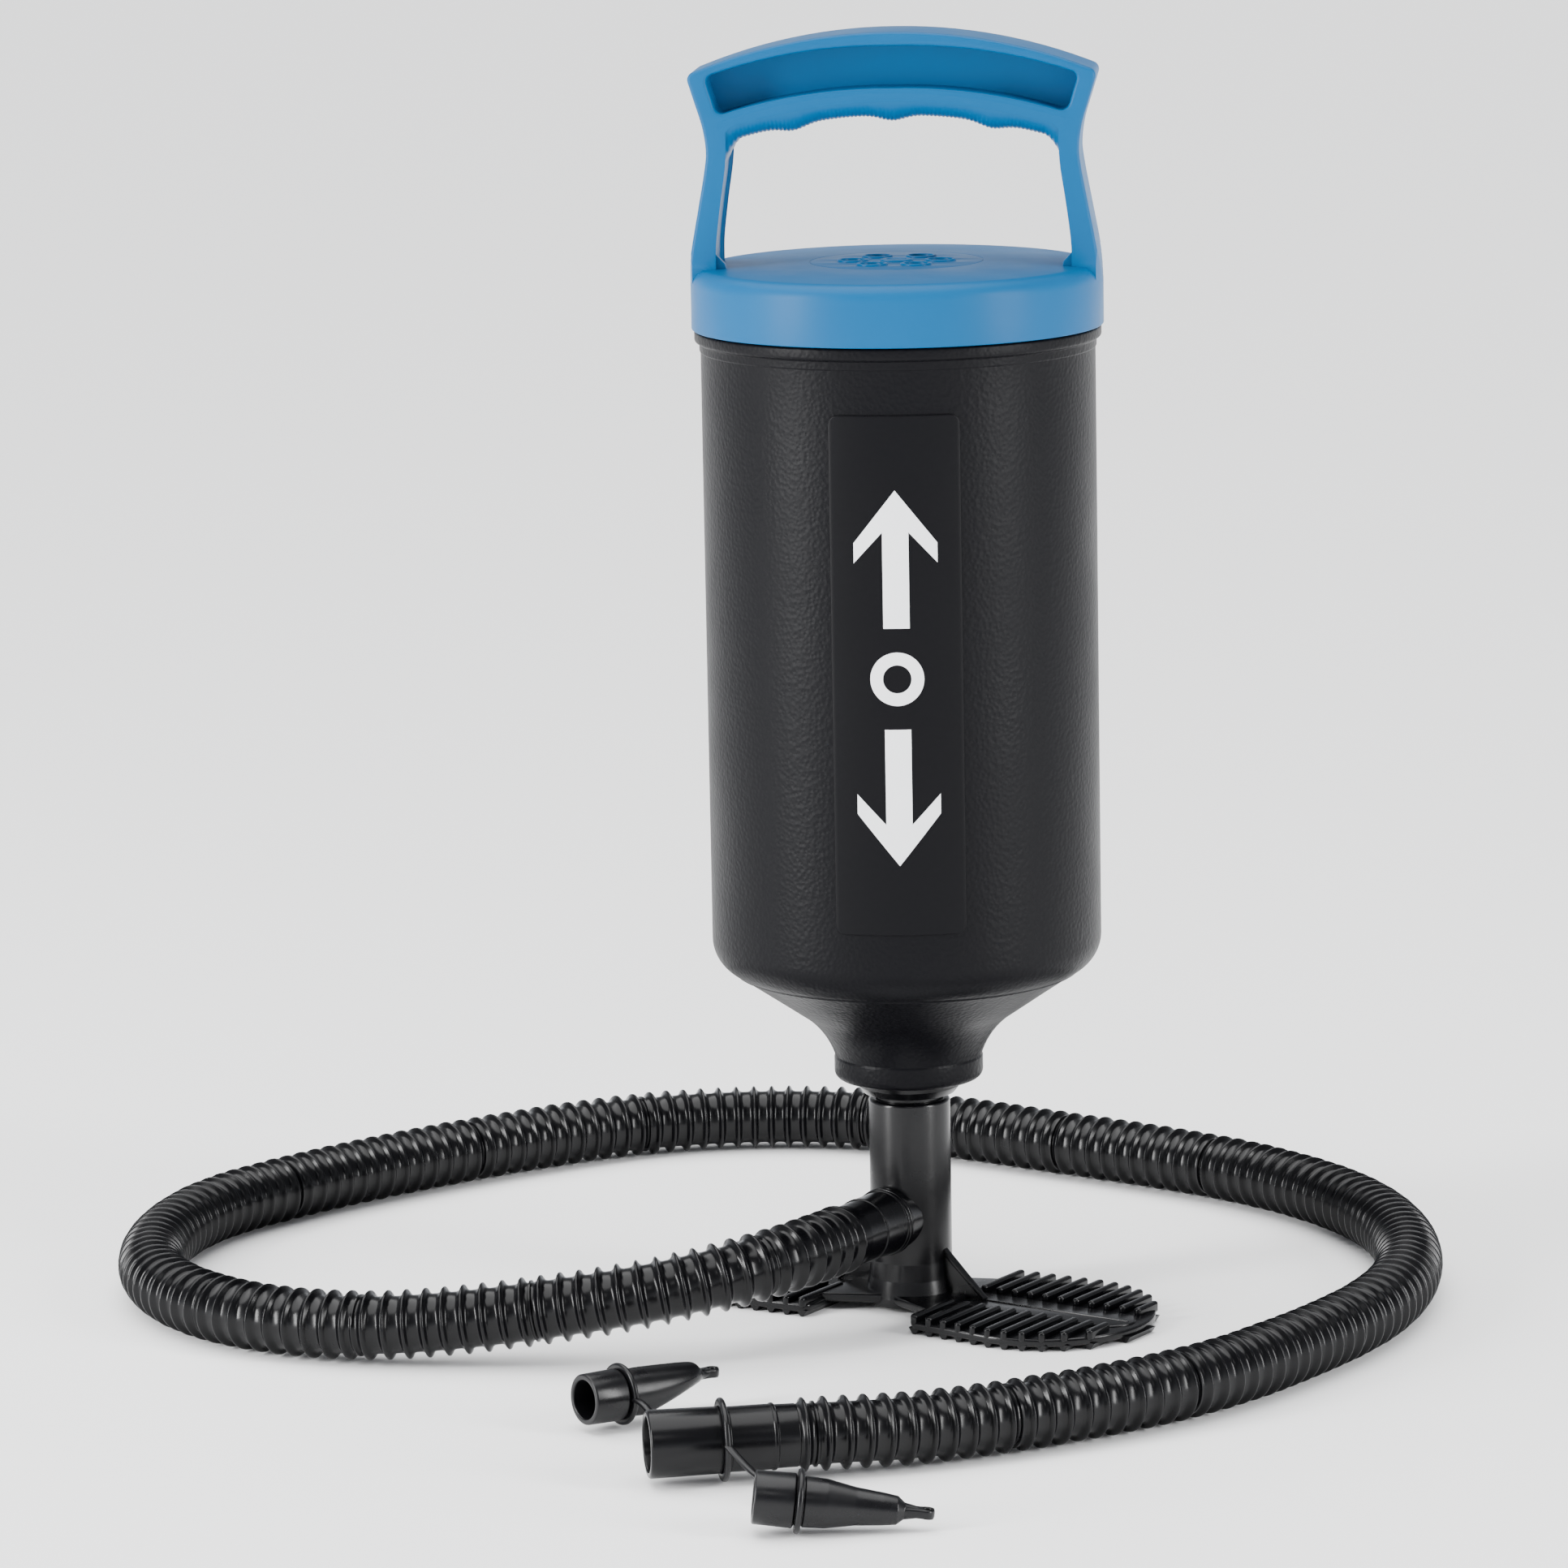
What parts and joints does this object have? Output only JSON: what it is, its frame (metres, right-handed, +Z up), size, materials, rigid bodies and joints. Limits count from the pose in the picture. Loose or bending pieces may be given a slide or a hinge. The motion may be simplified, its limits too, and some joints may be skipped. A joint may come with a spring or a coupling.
{
  "type": "double action hand pump",
  "caption": "Upright hand pump: a barrel with a handle cap slides on a fixed hollow rod above a ribbed foot base, with a corrugated hose and tethered nozzles.",
  "frame": {"origin": "on the floor under the rod's axis", "axes": "+Z up along the rod, +X along the handle's grip, -Y the way the label faces"},
  "size_m": [0.384, 0.434, 0.3636],
  "materials": {
    "gloss_black": "semi-gloss moulded",
    "grained_black": "fine pebble grain",
    "satin_black": "smooth satin",
    "blue_plastic": "satin moulded",
    "hose_black": "semi-gloss flexible",
    "seal_rubber": "matt",
    "screw_steel": "zinc plated"
  },
  "bodies": {
    "base": {"foot_base": "gloss_black", "base_plug": "gloss_black", "rod": "gloss_black", "piston_lower": "gloss_black", "piston_crown": "gloss_black", "crown_screws": "screw_steel", "piston_ring": "seal_rubber", "hose": "hose_black", "hose_cuff_pump": "hose_black", "hose_cuff_end": "hose_black", "hose_connector": "gloss_black", "nozzle_tether": "gloss_black"},
    "guide": {"rod_guide": "gloss_black"},
    "barrel": {"barrel": "grained_black", "label_panel": "satin_black", "neck_gland": "gloss_black", "handle_cap": "blue_plastic", "cap_gasket": "seal_rubber", "valve_stud": "blue_plastic"},
    "intake_valve": {"intake_disc": "seal_rubber"},
    "neck_valve": {"neck_valve_ring": "seal_rubber"},
    "upper_delivery": {"upper_delivery_disc": "seal_rubber"},
    "lower_delivery": {"lower_delivery_disc": "seal_rubber"},
    "taper_nozzle": {"nozzle_taper": "gloss_black"},
    "pinch_nozzle": {"nozzle_pinch": "gloss_black"}
  },
  "joints": [
    {"name": "barrel_slide", "type": "slide", "parent": "base", "child": "guide", "axis": [0, 0, 1], "range_m": [0, 0.15]},
    {"name": "barrel_turn", "type": "hinge", "parent": "guide", "child": "barrel", "pos_m": [0, 0, 0.08], "axis": [0, 0, 1], "continuous": true},
    {"name": "intake_lift", "type": "slide", "parent": "barrel", "child": "intake_valve", "axis": [0, 0, 1], "range_m": [0, 0.0012]},
    {"name": "neck_lift", "type": "slide", "parent": "barrel", "child": "neck_valve", "axis": [0, 0, 1], "range_m": [0, 0.0012]},
    {"name": "upper_delivery_lift", "type": "slide", "parent": "base", "child": "upper_delivery", "axis": [0, 0, 1], "range_m": [0, 0.0012]},
    {"name": "lower_delivery_lift", "type": "slide", "parent": "base", "child": "lower_delivery", "axis": [0, 0, 1], "range_m": [0, 0.0012]},
    {"name": "taper_nozzle_turn", "type": "hinge", "parent": "base", "child": "taper_nozzle", "pos_m": [-0.01375, -0.2264, 0.00859], "axis": [0.9871, 0.1037, -0.1219], "continuous": true},
    {"name": "pinch_nozzle_turn", "type": "hinge", "parent": "base", "child": "pinch_nozzle", "pos_m": [-0.06986, -0.12933, 0.00899], "axis": [0.7712, 0.6357, -0.0349], "continuous": true}
  ]
}
